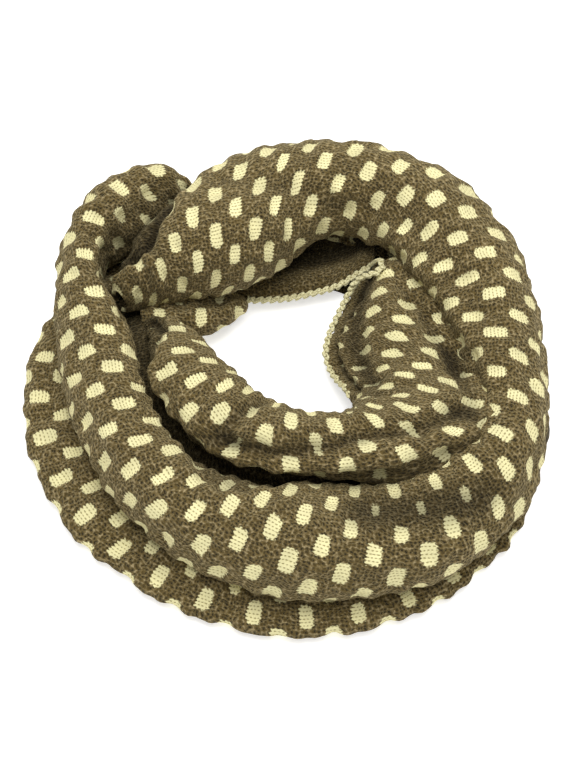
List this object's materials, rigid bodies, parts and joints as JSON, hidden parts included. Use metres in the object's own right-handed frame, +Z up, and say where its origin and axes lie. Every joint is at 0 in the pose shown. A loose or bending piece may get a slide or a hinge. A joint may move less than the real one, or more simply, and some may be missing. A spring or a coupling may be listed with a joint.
{
  "type": "infinity scarf",
  "caption": "Wide knitted infinity scarf in brown with cream dots, wound on itself round an open neck hole and dropped on a flat surface.",
  "frame": {"origin": "bottom centre of the bounding box, on the surface the scarf lies on", "axes": "+Z up from the surface, +Y towards the back of the picture, +X to its right; the neck hole opens along Z"},
  "size_m": [0.3816, 0.369, 0.0979],
  "materials": {
    "knit": "soft matt bulky knit, brown with cream dots",
    "knit_wrong_side": "matt wrong side of the brown knit",
    "selvage": "cream chain-stitch edge"
  },
  "bodies": {
    "root": {"upper_turn_back": "knit", "upper_turn_right": "knit", "upper_turn_front": "knit", "upper_turn_left": "knit", "upper_turn_end": "knit", "lower_turn_right": "knit", "lower_turn_front": "knit", "lower_turn_left": "knit", "left_lobe": "knit", "back_strip": "knit_wrong_side", "skirt": "knit", "selvage_back": "selvage", "selvage_slope": "selvage", "hidden_layers": "knit"}
  },
  "joints": []
}
